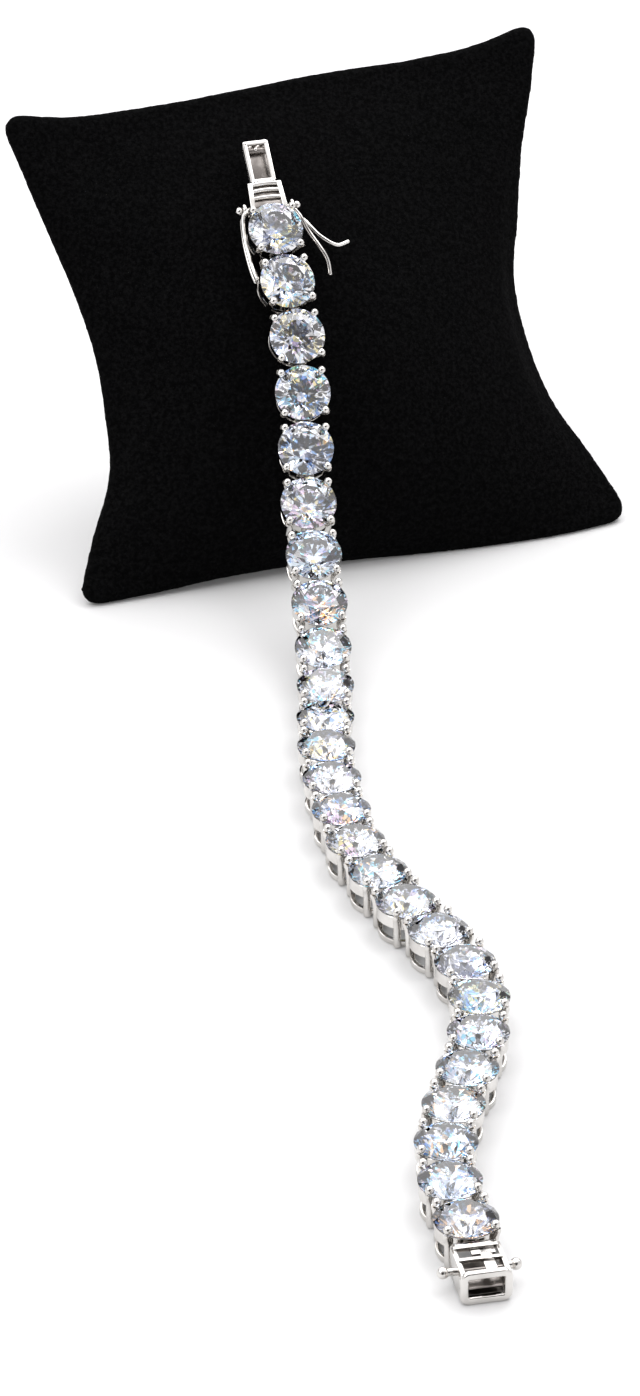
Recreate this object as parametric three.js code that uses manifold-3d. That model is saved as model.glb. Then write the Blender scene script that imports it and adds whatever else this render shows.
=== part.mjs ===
// Tennis bracelet of round brilliants, lying open over a small black velvet display pillow and along the floor.
// Millimetres, +Z up. The origin is on the floor, in the middle of the flat patch that the pillow stands on.
// The chain comes down the pillow's front and runs towards -Y. A link's own axes: +X down the chain, +Z out of the stone.
import * as THREE from 'three';
import { mergeVertices } from 'three/addons/utils/BufferGeometryUtils.js';
import Module from 'manifold-3d';

const wasm = await Module();
wasm.setup();

// Stones: round brilliants
const stoneCount = 26;
const stoneDiameter = 6.5;
const stoneGap = 0.2; // between neighbouring girdles
const tableDiameter = 3.7;
const starDiameter = 5.1; // where star and kite facets meet
const lowerHalfDiameter = 1.5; // where the pavilion's lower halves end
const crownHeight = 0.96;
const girdleThickness = 0.2;
const pavilionDepth = 2.8;
const stoneTurn = Math.PI / 16; // brings a flat of the girdle to each prong

// Settings: a cylindrical basket of band, base rail and four ball-tipped prongs
const culetLift = 1.0; // from the base to the stone's point
const seatClearance = 0.12; // prong to girdle
const bandDrop = 0.6; // from the girdle's lower edge to the band's top
const bandHeight = 1.1;
const bandWall = 0.4;
const bandOuter = 3.15;
const railHeight = 0.7;
const railWall = 0.5;
const railOuter = 2.95;
const bandSides = 10;
const prongRadius = 0.36;
const prongNeck = 0.27;
const prongBall = 0.44;
const prongSides = 5;
const hingeWidth = 1.6;
const hingeThickness = 0.45;
const hingeGap = 0.3; // where the two lengths of chain meet

// Clasp, tongue end
const collarStart = 2.95; // upstream of the first stone's centre
const collarLength = 3.4;
const collarWidth = 4.1;
const collarShoulder = 4.56; // the collar's width where the posts stand
const collarBottom = 0.7;
const collarTop = 3.3;
const collarSlot = 0.3;
const collarSlotDepth = 0.7;
const tongueLength = 5.45;
const tongueWidth = 3.1;
const tongueLeaf = 0.45;
const tongueRim = 0.45;
const tongueTop = 3.0;
const tongueSpread = 1.3; // from the upper leaf down to the lower leaf
const tongueRoot = 0.4; // the length of the leaves inside the collar
const tongueWindowInset = 0.25;
const neighbourGap = 0.3; // between the collar or the box and the setting beside it

// Posts, and the safety latches that swing on the tongue end's pair
const postRadius = 0.22;
const postRunningGap = 0.1;
const postBall = 0.48;
const postBallOut = 3.5; // ball centre from the chain's middle
const latchPostBack = 3.3; // upstream of the first stone's centre
const latchPostHeight = 2.4;
const latchEyeOut = 2.8;
const latchWire = 0.25;
const latchLength = 9.0;
const wireSides = 5;
const wireSteps = 8;
const eyeSides = 10;

// Clasp, box end
const boxStart = 3.4; // downstream of the last stone's centre
const boxLength = 5.45;
const boxWidth = 5.1;
const boxHeight = 3.7;
const boxWall = 0.6;
const boxWindowInset = 1.0;
const boxCrossbar = 0.5;
const boxPostForward = 2.3; // from the box's back to its posts
const boxPostHeight = 1.95;
const boxBallOut = 3.65;

// Pillow: a square cushion that leans back and is flat where it stands
const pillowWidth = 67;
const pillowHeight = 58.5; // along the seam
const pillowYaw = THREE.MathUtils.degToRad(18.7);
const pillowLean = THREE.MathUtils.degToRad(33);
const pillowSeamFront = 11; // the bottom seam lies this far in front of the origin
const pillowFrontPuff = 9.3;
const pillowBackPuff = 18;
const pillowColumns = 11;
const pillowRows = 9;
// Its edges in equal steps: shares of the half width from the foot up, and of the height from left to right
const pillowLeftEdge = [1.033, 0.964, 0.845, 0.821, 0.821, 0.857, 0.91, 0.964, 1.009];
const pillowRightEdge = [1.024, 0.931, 0.815, 0.761, 0.752, 0.809, 0.866, 0.946, 1.003];
const pillowTopEdge = [0.997, 0.977, 0.976, 0.981, 0.99, 0.997, 0.998, 1.009, 1.039];

// The chain's route, the line that the settings' bases follow: on the pillow as shares of its half width, its height
// and its front puff, then chosen points along the floor
const hungRoute = [
  { across: -0.1816, up: 0.6616, out: 0.7578 },
  { across: -0.1879, up: 0.5579, out: 0.9338 },
  { across: -0.1923, up: 0.4459, out: 1.0115 },
  { across: -0.2051, up: 0.3305, out: 1.0629 },
  { across: -0.2331, up: 0.2113, out: 1.1713 },
  { across: -0.2725, up: 0.0931, out: 1.3487 },
];
const floorRoute = [
  [-2.1, -26.4, 7.3],
  [-1.4, -32.6, 4.1],
  [-0.9, -39.4, 1.6],
  [-0.6, -46.4, 0.3],
  [-0.6, -53.5, 0.05],
  [-0.5, -60.3, 0.25],
  [0.1, -66.9, 0],
  [2.6, -80.0, 0],
  [8.0, -92.5, 0],
  [11.5, -98.6, 0],
  [14.1, -104.8, 0],
  [15.3, -111.5, 0],
  [14.9, -118.5, 0],
  [12.0, -131.9, 0],
  [11.3, -138.4, 0],
  [11.7, -144.7, 0],
  [13.2, -151.3, 0],
];

// Latch legs as shares of the latch's length, from the post: along the chain, outwards and up
const leftUpperLeg = [
  { along: 0.045, out: 0.0, up: 0.055 },
  { along: 0.12, out: 0.06, up: 0.045 },
  { along: 0.3, out: 0.085, up: 0.04 },
  { along: 0.48, out: 0.095, up: 0.04 },
  { along: 0.68, out: 0.09, up: 0.045 },
  { along: 0.86, out: 0.075, up: 0.05 },
  { along: 0.99, out: 0.05, up: 0.055 },
];
const leftLowerLeg = leftUpperLeg.map(({ along, out, up }) => ({ along, out, up: -up }));
const rightInnerLeg = [
  { along: 0.05, out: 0.0, up: 0.05 },
  { along: 0.12, out: 0.055, up: 0.035 },
  { along: 0.2, out: 0.094, up: 0.025 },
  { along: 0.317, out: 0.135, up: 0.0 },
  { along: 0.415, out: 0.179, up: -0.02 },
  { along: 0.646, out: 0.292, up: -0.05 },
  { along: 0.795, out: 0.348, up: -0.085 },
  { along: 0.963, out: 0.354, up: -0.13 },
];
const rightOuterLeg = [
  { along: 0.06, out: 0.0, up: -0.07 },
  { along: 0.13, out: 0.08, up: -0.06 },
  { along: 0.22, out: 0.155, up: -0.05 },
  { along: 0.322, out: 0.217, up: -0.045 },
  { along: 0.428, out: 0.292, up: -0.055 },
  { along: 0.504, out: 0.373, up: -0.07 },
  { along: 0.563, out: 0.46, up: -0.09 },
  { along: 0.588, out: 0.553, up: -0.11 },
  { along: 0.546, out: 0.683, up: -0.13 },
];

const silver = { color: 0xdedad4, roughness: 0.16, metalness: 1.0 };
const crystal = { color: 0xe8ecf8, roughness: 0.02, metalness: 0.0 };
const velvet = { color: 0x08080a, roughness: 0.95, metalness: 0.0 };

// What follows from the sizes above
const stoneRadius = stoneDiameter / 2;
const pitch = stoneDiameter + stoneGap;
const girdleBottom = culetLift + pavilionDepth;
const girdleTop = girdleBottom + girdleThickness;
const girdleMiddle = girdleBottom + girdleThickness / 2;
const bandTop = girdleBottom - bandDrop;
const prongOut = stoneRadius + seatClearance;
const railCorner = railOuter / Math.cos(Math.PI / bandSides);
const axisZ = new THREE.Vector3(0, 0, 1);

function solidOf(geometry) {
  const bare = geometry.clone();
  bare.deleteAttribute('normal');
  bare.deleteAttribute('uv');
  const merged = mergeVertices(bare, 1e-4);
  const vertProperties = Float32Array.from(merged.attributes.position.array);
  const triVerts = Uint32Array.from(merged.index.array);
  return new wasm.Manifold(new wasm.Mesh({ numProp: 3, vertProperties, triVerts }));
}

function geometryOf(solid) {
  const { vertProperties, triVerts } = solid.getMesh();
  const geometry = new THREE.BufferGeometry();
  geometry.setAttribute('position', new THREE.BufferAttribute(vertProperties, 3));
  geometry.setIndex(new THREE.BufferAttribute(triVerts, 1));
  geometry.computeVertexNormals();
  return geometry;
}

function joined(geometries) {
  return geometryOf(geometries.map(solidOf).reduce((whole, piece) => whole.add(piece)));
}

function cutFrom(geometry, ...tools) {
  return geometryOf(tools.map(solidOf).reduce((whole, tool) => whole.subtract(tool), solidOf(geometry)));
}

function indexed(points, triangles) {
  const geometry = new THREE.BufferGeometry().setFromPoints(points);
  geometry.setIndex(triangles.flat());
  geometry.computeVertexNormals();
  return geometry;
}

// Joins rings of equally many points into one closed body
function loft(rings) {
  const sides = rings[0].length;
  const last = (rings.length - 1) * sides;
  const triangles = [];
  for (let row = 0; row < rings.length - 1; row += 1) {
    for (let side = 0; side < sides; side += 1) {
      const a = row * sides + side;
      const b = row * sides + ((side + 1) % sides);
      triangles.push([a, b, b + sides], [a, b + sides, a + sides]);
    }
  }
  for (let side = 1; side < sides - 1; side += 1) {
    triangles.push([0, side + 1, side], [last, last + side, last + side + 1]);
  }
  return indexed(rings.flat(), triangles);
}

function block(length, width, height, x, y, z) {
  return new THREE.BoxGeometry(length, width, height).translate(x, y, z);
}

// A band of flat sides round Z, given by the distances of its inner and outer flats
function band(inner, outer, bottom, top, sides) {
  const toCorner = 1 / Math.cos(Math.PI / sides);
  const profile = [
    [inner * toCorner, bottom],
    [outer * toCorner, bottom],
    [outer * toCorner, top],
    [inner * toCorner, top],
    [inner * toCorner, bottom],
  ].map(([radius, height]) => new THREE.Vector2(radius, height));
  return new THREE.LatheGeometry(profile, sides).rotateX(Math.PI / 2).rotateZ(Math.PI / 2 + Math.PI / sides);
}

function ball(radius, x, y, z) {
  return new THREE.SphereGeometry(radius, 8, 5).rotateX(Math.PI / 2).translate(x, y, z);
}

// A round bar along Y
function bar(radius, x, start, end, z, sides = 8) {
  return new THREE.CylinderGeometry(radius, radius, Math.abs(end - start), sides)
    .translate(x, (start + end) / 2, z);
}

function around(radius, height, count, offset) {
  return Array.from({ length: count }, (_, k) => {
    const angle = ((k + offset) * 2 * Math.PI) / count;
    return new THREE.Vector3(radius * Math.cos(angle), radius * Math.sin(angle), height);
  });
}

// Table, 8 stars, 8 kites and 16 upper halves over a girdle, 16 lower halves and 8 mains under it
function brilliant() {
  const starCorner = (starDiameter / 2) * Math.cos(Math.PI / 8);
  const kiteShare = (stoneRadius - starCorner) / (stoneRadius - tableDiameter / 2);
  const mainShare = ((lowerHalfDiameter / 2) * Math.cos(Math.PI / 8)) / stoneRadius;
  const points = [
    ...around(tableDiameter / 2, girdleTop + crownHeight, 8, 0),
    ...around(starDiameter / 2, girdleTop + crownHeight * kiteShare, 8, 0.5),
    ...around(stoneRadius, girdleTop, 16, 0),
    ...around(stoneRadius, girdleBottom, 16, 0),
    ...around(lowerHalfDiameter / 2, girdleBottom - pavilionDepth * (1 - mainShare), 8, 0.5),
    new THREE.Vector3(0, 0, culetLift),
  ];
  const [table, star, upper, lower, half, culet] = [0, 8, 16, 32, 48, 56];
  const triangles = [];
  for (let k = 0; k < 8; k += 1) {
    const next = (k + 1) % 8;
    const before = (k + 7) % 8;
    const [g, gHalf, gNext] = [2 * k, 2 * k + 1, (2 * k + 2) % 16];
    triangles.push([table + k, star + k, table + next]);
    triangles.push([table + k, star + before, upper + g], [table + k, upper + g, star + k]);
    triangles.push([star + k, upper + g, upper + gHalf], [star + k, upper + gHalf, upper + gNext]);
    triangles.push([upper + g, lower + g, lower + gHalf], [upper + g, lower + gHalf, upper + gHalf]);
    triangles.push([upper + gHalf, lower + gHalf, lower + gNext], [upper + gHalf, lower + gNext, upper + gNext]);
    triangles.push([half + k, lower + gHalf, lower + g], [half + k, lower + gNext, lower + gHalf]);
    triangles.push([culet, half + k, lower + g], [culet, lower + g, half + before]);
  }
  for (let k = 1; k < 7; k += 1) {
    triangles.push([table, table + k, table + k + 1]);
  }
  return indexed(points, triangles).rotateZ(stoneTurn);
}

// One prong: it passes outside the girdle and ends in a ball over the stone's edge
function prong(angle) {
  const sections = [
    { out: railOuter + prongRadius / 2, up: railHeight / 2, radius: prongRadius },
    { out: prongOut + prongNeck, up: girdleMiddle, radius: prongNeck },
    { out: prongOut + seatClearance, up: girdleTop + prongBall, radius: prongBall },
    { out: prongOut, up: girdleTop + 2 * prongBall, radius: prongBall / 2 },
  ];
  const rings = sections.map(({ out, up, radius }) => (
    around(radius, up, prongSides, 0.5).map((point) => point.add(new THREE.Vector3(out, 0, 0)))
  ));
  return loft(rings).rotateZ(angle);
}

function setting() {
  const prongs = [1, 3, 5, 7].map((eighth) => prong((eighth * Math.PI) / 4));
  return joined([
    band(bandOuter - bandWall, bandOuter, bandTop - bandHeight, bandTop, bandSides),
    band(railOuter - railWall, railOuter, 0, railHeight, bandSides),
    ...prongs,
  ]);
}

// The bar that hinges one link to the next, from rail to rail
function hingeBar(here, there, shorter) {
  const height = railHeight / 2;
  const from = new THREE.Vector3(railOuter - railWall / 2, 0, height).applyMatrix4(here);
  const to = new THREE.Vector3(-railOuter + railWall / 2 - shorter, 0, height).applyMatrix4(there);
  const length = from.distanceTo(to);
  const frame = new THREE.Matrix4().extractRotation(here);
  const side = new THREE.Vector3(0, 1, 0).applyMatrix4(frame);
  const along = to.clone().sub(from).normalize();
  const across = side.sub(along.clone().multiplyScalar(side.dot(along))).normalize();
  const basis = new THREE.Matrix4().makeBasis(along, across, along.clone().cross(across));
  basis.setPosition(from.add(to).multiplyScalar(0.5));
  return block(length, hingeWidth, hingeThickness, 0, 0, 0).applyMatrix4(basis);
}

// The links' places: equal steps between stones along the route raised to the girdles
function linkFrames() {
  const hung = hungRoute.map(({ across, up, out }) => (
    leaned((across * pillowWidth) / 2, up * pillowHeight, out * pillowFrontPuff).applyAxisAngle(axisZ, pillowYaw)
  ));
  const laid = floorRoute.map(([x, y, z]) => new THREE.Vector3(x, y, z));
  const baseCurve = new THREE.CatmullRomCurve3([...hung, ...laid], false, 'centripetal');
  const samples = 160;
  const raised = [];
  for (let k = 0; k <= samples; k += 1) {
    const { up } = directions(baseCurve.getTangentAt(k / samples));
    raised.push(baseCurve.getPointAt(k / samples).addScaledVector(up, girdleMiddle));
  }
  const girdleCurve = new THREE.CatmullRomCurve3(raised, false, 'centripetal');
  const length = girdleCurve.getLength();
  return Array.from({ length: stoneCount }, (_, k) => {
    const reach = k * pitch;
    const share = Math.min(reach / length, 1);
    const tangent = girdleCurve.getTangentAt(share);
    const place = girdleCurve.getPointAt(share).addScaledVector(tangent, Math.max(reach - length, 0));
    const { along, side, up } = directions(tangent);
    place.addScaledVector(up, -girdleMiddle);
    const footReach = railCorner * Math.abs(along.z);
    place.z += Math.max(footReach - place.z, 0);
    return new THREE.Matrix4().makeBasis(along, side, up).setPosition(place);
  });
}

function directions(tangent) {
  const along = tangent.clone().normalize();
  const side = axisZ.clone().cross(along).normalize();
  const up = along.clone().cross(side);
  return { along, side, up };
}

function chainLength(frames, first, end) {
  const pieces = [];
  const link = setting();
  for (let k = first; k < end; k += 1) {
    pieces.push(link.clone().applyMatrix4(frames[k]));
    if (k + 1 < end) {
      pieces.push(hingeBar(frames[k], frames[k + 1], 0));
    } else if (end < stoneCount) {
      pieces.push(hingeBar(frames[k], frames[k + 1], railWall / 2 + hingeGap));
    }
  }
  return joined(pieces);
}

// Tongue end, in the first link's frame: collar, spring tongue of two leaves, and the latches' ball posts
function claspTongue() {
  const back = -collarStart - collarLength;
  const middle = (collarBottom + collarTop) / 2;
  const collar = new THREE.Shape([
    new THREE.Vector2(-collarStart, -collarShoulder / 2),
    new THREE.Vector2(-collarStart, collarShoulder / 2),
    new THREE.Vector2(back, collarWidth / 2),
    new THREE.Vector2(back, -collarWidth / 2),
  ]);
  const collarDepth = collarTop - collarBottom;
  const body = new THREE.ExtrudeGeometry(collar, { depth: collarDepth, bevelEnabled: false })
    .translate(0, 0, collarBottom);
  const settingRoom = new THREE.CylinderGeometry(
    bandOuter / Math.cos(Math.PI / bandSides) + neighbourGap,
    bandOuter / Math.cos(Math.PI / bandSides) + neighbourGap,
    collarTop * 2,
    16,
  ).rotateX(Math.PI / 2).translate(0, 0, middle);
  const slots = [0.45, 0.75].map((share) => (
    block(collarSlot, collarWidth * 0.72, collarSlotDepth * 2, -collarStart - collarLength * share, 0, collarTop)
  ));
  const tip = back - tongueLength;
  const leafMiddle = (back + tip) / 2;
  const leafLength = tongueLength + tongueRoot;
  const windowLength = tongueLength - 2 * (tongueRim + tongueWindowInset);
  const upperLeaf = cutFrom(
    block(leafLength, tongueWidth, tongueLeaf, leafMiddle + tongueRoot / 2, 0, tongueTop - tongueLeaf / 2),
    block(windowLength, tongueWidth - 2 * tongueRim, tongueLeaf * 4, leafMiddle, 0, tongueTop),
  );
  const lowerLeaf = block(
    leafLength, tongueWidth - tongueRim, tongueLeaf, leafMiddle + tongueRoot / 2, 0, tongueTop - tongueSpread,
  );
  const rollRadius = (tongueSpread + tongueLeaf / 2) / 2;
  const roll = bar(
    rollRadius, tip + rollRadius * 0.6, -tongueWidth / 2, tongueWidth / 2, tongueTop - rollRadius, 10,
  );
  const posts = [-1, 1].flatMap((hand) => [
    bar(postRadius, -latchPostBack, hand * (collarShoulder / 2 - 0.4), hand * postBallOut, latchPostHeight),
    ball(postBall, -latchPostBack, hand * postBallOut, latchPostHeight),
  ]);
  return joined([cutFrom(body, settingRoom, ...slots), upperLeaf, lowerLeaf, roll, ...posts]);
}

// Box end, in the last link's frame: an open frame with a barred window above and two ball posts
function claspBox() {
  const middle = boxStart + boxLength / 2;
  const innerWidth = boxWidth - 2 * boxWall;
  const windowLength = boxLength - 2 * boxWindowInset;
  const body = cutFrom(
    block(boxLength, boxWidth, boxHeight, middle, 0, boxHeight / 2),
    block(boxLength, innerWidth, boxHeight - 2 * boxWall, middle + boxWall, 0, boxHeight / 2),
    block(windowLength, innerWidth, boxWall * 2, middle, 0, boxHeight),
  );
  const crossbar = block(boxCrossbar, boxWidth - boxWall, boxWall, middle, 0, boxHeight - boxWall / 2);
  const posts = [-1, 1].flatMap((hand) => [
    bar(postRadius, boxStart + boxPostForward, hand * (innerWidth / 2 + boxWall / 2), hand * boxBallOut, boxPostHeight),
    ball(postBall, boxStart + boxPostForward, hand * boxBallOut, boxPostHeight),
  ]);
  return joined([body, crossbar, ...posts]);
}

function wire(points) {
  const curve = new THREE.CatmullRomCurve3(points);
  const section = new THREE.Shape(
    Array.from({ length: wireSides }, (_, k) => {
      const angle = (k * 2 * Math.PI) / wireSides;
      return new THREE.Vector2(latchWire * Math.cos(angle), latchWire * Math.sin(angle));
    }),
  );
  return new THREE.ExtrudeGeometry(section, { steps: wireSteps, extrudePath: curve, bevelEnabled: false });
}

// A safety latch: an eye on its post and two open legs that snap over the box's ball
function safetyLatch(hand, legs) {
  const eyeRadius = postRadius + postRunningGap + latchWire;
  const centre = new THREE.Vector3(-latchPostBack, hand * latchEyeOut, latchPostHeight);
  const eye = new THREE.TorusGeometry(eyeRadius, latchWire, wireSides, eyeSides)
    .rotateX(Math.PI / 2).translate(centre.x, centre.y, centre.z);
  const wires = legs.map((leg) => wire(leg.map(({ along, out, up }) => (
    centre.clone().add(new THREE.Vector3(along, hand * out, up).multiplyScalar(latchLength))
  ))));
  return joined([eye, ...wires]);
}

// A smooth value between the equal steps of a table
function stepped(table, share) {
  const place = share * (table.length - 1);
  const step = Math.min(Math.floor(place), table.length - 2);
  const at = (index) => table[THREE.MathUtils.clamp(index, 0, table.length - 1)];
  const curve = new THREE.CatmullRomCurve3([-1, 0, 1, 2].map((k) => new THREE.Vector3(k, at(step + k), 0)));
  curve.curveType = 'catmullrom';
  return curve.getPoint((1 + place - step) / 3).y;
}

// A place in the leaning plane of the pillow's seam: sideways, up along it and out of it
function leaned(sideways, climb, out) {
  const y = climb * Math.sin(pillowLean) - out * Math.cos(pillowLean) - pillowSeamFront;
  const z = climb * Math.cos(pillowLean) + out * Math.sin(pillowLean);
  return new THREE.Vector3(sideways, y, z);
}

// One sheet of the pillow, as a grid of points across and up
function pillowPoint(across, up, front) {
  const a = across * (pillowWidth / 2) * stepped(across < 0 ? pillowLeftEdge : pillowRightEdge, up);
  const b = up * pillowHeight * stepped(pillowTopEdge, (across + 1) / 2);
  const fullness = Math.max(Math.cos((Math.PI / 2) * across), 0) ** 0.6
    * Math.max(Math.sin(Math.PI * up ** 0.75), 0) ** 0.85;
  const rise = fullness * (front ? pillowFrontPuff : -pillowBackPuff);
  const place = leaned(a, b, rise);
  return place.setZ(Math.max(place.z, 0));
}

function pillow() {
  const points = [];
  const triangles = [];
  for (const front of [true, false]) {
    const start = points.length;
    for (let row = 0; row <= pillowRows; row += 1) {
      for (let column = 0; column <= pillowColumns; column += 1) {
        points.push(pillowPoint((2 * column) / pillowColumns - 1, row / pillowRows, front));
      }
    }
    for (let row = 0; row < pillowRows; row += 1) {
      for (let column = 0; column < pillowColumns; column += 1) {
        const a = start + row * (pillowColumns + 1) + column;
        const c = a + pillowColumns + 1;
        const rising = (column < pillowColumns / 2) === (row < pillowRows / 2);
        const faces = rising ? [[a, a + 1, c + 1], [a, c + 1, c]] : [[a, a + 1, c], [a + 1, c + 1, c]];
        triangles.push(...(front ? faces : faces.map((face) => face.toReversed())));
      }
    }
  }
  const geometry = indexed(points, triangles);
  geometry.deleteAttribute('normal');
  return mergeVertices(geometry, 1e-4);
}

function named(name, geometry, look) {
  const mesh = new THREE.Mesh(geometry, new THREE.MeshStandardMaterial(look));
  mesh.name = name;
  return mesh;
}

function atLink(frame, ...meshes) {
  const holder = new THREE.Group();
  frame.decompose(holder.position, holder.quaternion, holder.scale);
  holder.add(...meshes);
  return holder;
}

const group = new THREE.Group();
const frames = linkFrames();
const half = stoneCount / 2;

const pillowHolder = new THREE.Group();
pillowHolder.rotation.z = pillowYaw;
pillowHolder.add(named('display_pillow', pillow(), velvet));
group.add(pillowHolder);

group.add(named('upper_settings', chainLength(frames, 0, half), silver));
group.add(named('lower_settings', chainLength(frames, half, stoneCount), silver));

frames.forEach((frame, k) => {
  const name = `stone_${String(k + 1).padStart(2, '0')}`;
  group.add(atLink(frame, named(name, brilliant(), crystal)));
});

group.add(atLink(
  frames[0],
  named('clasp_tongue', claspTongue(), silver),
  named('safety_latch_left', safetyLatch(-1, [leftUpperLeg, leftLowerLeg]), silver),
  named('safety_latch_right', safetyLatch(1, [rightInnerLeg, rightOuterLeg]), silver),
));
group.add(atLink(frames[stoneCount - 1], named('clasp_box', claspBox(), silver)));

export default group;
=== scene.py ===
# Tennis bracelet of round brilliants over a black velvet display pillow
# Shapes below are worked out in millimetres and turned to metres when a mesh is made
import math
import random

import bmesh
import bpy
from mathutils import Matrix, Vector, noise


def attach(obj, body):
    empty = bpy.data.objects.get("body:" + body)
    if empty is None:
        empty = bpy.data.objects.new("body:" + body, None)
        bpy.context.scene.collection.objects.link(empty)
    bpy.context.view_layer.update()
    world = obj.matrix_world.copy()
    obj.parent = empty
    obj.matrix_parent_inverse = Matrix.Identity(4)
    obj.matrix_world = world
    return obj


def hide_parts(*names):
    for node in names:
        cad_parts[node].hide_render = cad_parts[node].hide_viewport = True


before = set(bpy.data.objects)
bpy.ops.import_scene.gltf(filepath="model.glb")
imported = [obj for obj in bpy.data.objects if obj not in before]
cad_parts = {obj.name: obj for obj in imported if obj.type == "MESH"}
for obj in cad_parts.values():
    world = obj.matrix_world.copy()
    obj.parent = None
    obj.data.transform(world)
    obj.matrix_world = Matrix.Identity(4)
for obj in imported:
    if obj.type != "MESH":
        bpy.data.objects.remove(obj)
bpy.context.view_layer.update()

mm = 0.001
fixedBody = "bracelet_and_pillow"
leftBody = "left_latch"
rightBody = "right_latch"
aheadWay = Vector((1, 0, 0))  # down the chain, in a link's own frame
acrossWay = Vector((0, 1, 0))
upWay = Vector((0, 0, 1))


# Camera: the photograph's view, down 30 degrees onto the chain
camera = {
    "height": 324.5,  # above the floor
    "distance": 603.3,  # in front of the pillow's foot
    "sideways": -1.2,
    "lookDown": 30.06,
    "lens": 146.3,  # on the long side's 36 mm
}


def makeCamera():
    data = bpy.data.cameras.new("camera")
    data.lens = camera["lens"]
    data.sensor_width = 36
    data.clip_start = 0.01
    data.clip_end = 10
    eye = bpy.data.objects.new("camera", data)
    eye.location = Vector((camera["sideways"], -camera["distance"], camera["height"])) * mm
    eye.rotation_euler = (math.radians(90 - camera["lookDown"]), 0, 0)
    bpy.context.scene.collection.objects.link(eye)
    bpy.context.scene.camera = eye
    print("camera placed")


makeCamera()


# Small tools for meshes: a shell is a list of points in mm and a list of faces
def joinShells(shells):
    points, faces = [], []
    for shellPoints, shellFaces in shells:
        start = len(points)
        points.extend(shellPoints)
        faces.extend([tuple(start + corner for corner in face) for face in shellFaces])
    return points, faces


def moved(shell, matrix):
    points, faces = shell
    return [matrix @ Vector(point) for point in points], faces


def gridFaces(rows, columns, wrapRows, wrapColumns):
    faces = []
    for row in range(rows if wrapRows else rows - 1):
        for column in range(columns if wrapColumns else columns - 1):
            nextRow = (row + 1) % rows
            nextColumn = (column + 1) % columns
            faces.append((
                row * columns + column,
                row * columns + nextColumn,
                nextRow * columns + nextColumn,
                nextRow * columns + column,
            ))
    return faces


# A closed hoop: the profile (outwards, along the axis) carried round an outline
# An outline is a list of places, each with its outward direction
def hoop(outline, profile, axis):
    points = []
    for place, outward in outline:
        for out, along in profile:
            points.append(place + outward * out + axis * along)
    return points, gridFaces(len(outline), len(profile), True, True)


def circleOutline(radius, count):
    angles = [2 * math.pi * k / count for k in range(count)]
    return [(Vector((radius * math.cos(a), radius * math.sin(a), 0)), Vector((math.cos(a), math.sin(a), 0)))
            for a in angles]


# A rectangle with round corners in the plane of two axes, seen from outside
def roundedOutline(width, height, corner, across, up, steps=5):
    outline = []
    for quarter, (signX, signY) in enumerate([(1, 1), (-1, 1), (-1, -1), (1, -1)]):
        centre = across * (signX * (width / 2 - corner)) + up * (signY * (height / 2 - corner))
        for k in range(steps + 1):
            angle = math.pi / 2 * (quarter + k / steps)
            outward = across * math.cos(angle) + up * math.sin(angle)
            outline.append((centre + outward * corner, outward))
    return outline


# A rounded rectangle as a profile, between two distances outwards and two along
def softProfile(inner, outer, low, high, corner, steps=2):
    profile = []
    corners = [(outer, high, 0), (inner, high, 1), (inner, low, 2), (outer, low, 3)]
    for out, along, quarter in corners:
        centreOut = out - corner if out == outer else out + corner
        centreAlong = along - corner if along == high else along + corner
        for k in range(steps + 1):
            angle = math.pi / 2 * (quarter + k / steps)
            profile.append((centreOut + corner * math.cos(angle), centreAlong + corner * math.sin(angle)))
    return profile


# A Catmull-Rom curve through points, with equal steps in each span
def smoothPath(points, perSpan):
    path = []
    for k in range(len(points) - 1):
        before = points[max(k - 1, 0)]
        start, end = points[k], points[k + 1]
        after = points[min(k + 2, len(points) - 1)]
        for step in range(perSpan):
            t = step / perSpan
            bend = 2 * before - 5 * start + 4 * end - after
            twist = 3 * start - before - 3 * end + after
            path.append(0.5 * (2 * start + (end - before) * t + bend * t ** 2 + twist * t ** 3))
    return path + [points[-1]]


# A wire of given radii along a path, closed at both ends
def wire(path, radii, sides):
    points, faces = [], []
    across = None
    for k, place in enumerate(path):
        ahead = (path[min(k + 1, len(path) - 1)] - path[max(k - 1, 0)]).normalized()
        if across is None:
            across = ahead.orthogonal().normalized()
        across = (across - ahead * across.dot(ahead)).normalized()
        other = ahead.cross(across)
        for side in range(sides):
            angle = 2 * math.pi * side / sides
            points.append(place + (across * math.cos(angle) + other * math.sin(angle)) * radii[k])
    faces.extend(gridFaces(len(path), sides, False, True))
    faces.append(tuple(reversed(range(sides))))
    faces.append(tuple(len(points) - sides + side for side in range(sides)))
    return points, faces


# The same with one radius and round ends, whose last rings stay open a little
def roundEnded(path, radius, sides, capSteps=4, capOpen=0.35):
    startWay = (path[0] - path[1]).normalized()
    endWay = (path[-1] - path[-2]).normalized()
    full, radii = [], []
    for k in range(capSteps, 0, -1):
        angle = math.pi / 2 * k / (capSteps + capOpen)
        full.append(path[0] + startWay * radius * math.sin(angle))
        radii.append(radius * math.cos(angle))
    full.extend(path)
    radii.extend([radius] * len(path))
    for k in range(1, capSteps + 1):
        angle = math.pi / 2 * k / (capSteps + capOpen)
        full.append(path[-1] + endWay * radius * math.sin(angle))
        radii.append(radius * math.cos(angle))
    return wire(full, radii, sides)


def ball(radius, centre, around=20, up=12, poleGap=0.03):
    path, radii = [], []
    for k in range(up + 1):
        angle = math.pi * (poleGap + (1 - 2 * poleGap) * k / up)
        path.append(centre - Vector((0, 0, radius * math.cos(angle))))
        radii.append(radius * math.sin(angle))
    return wire(path, radii, around)


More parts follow.
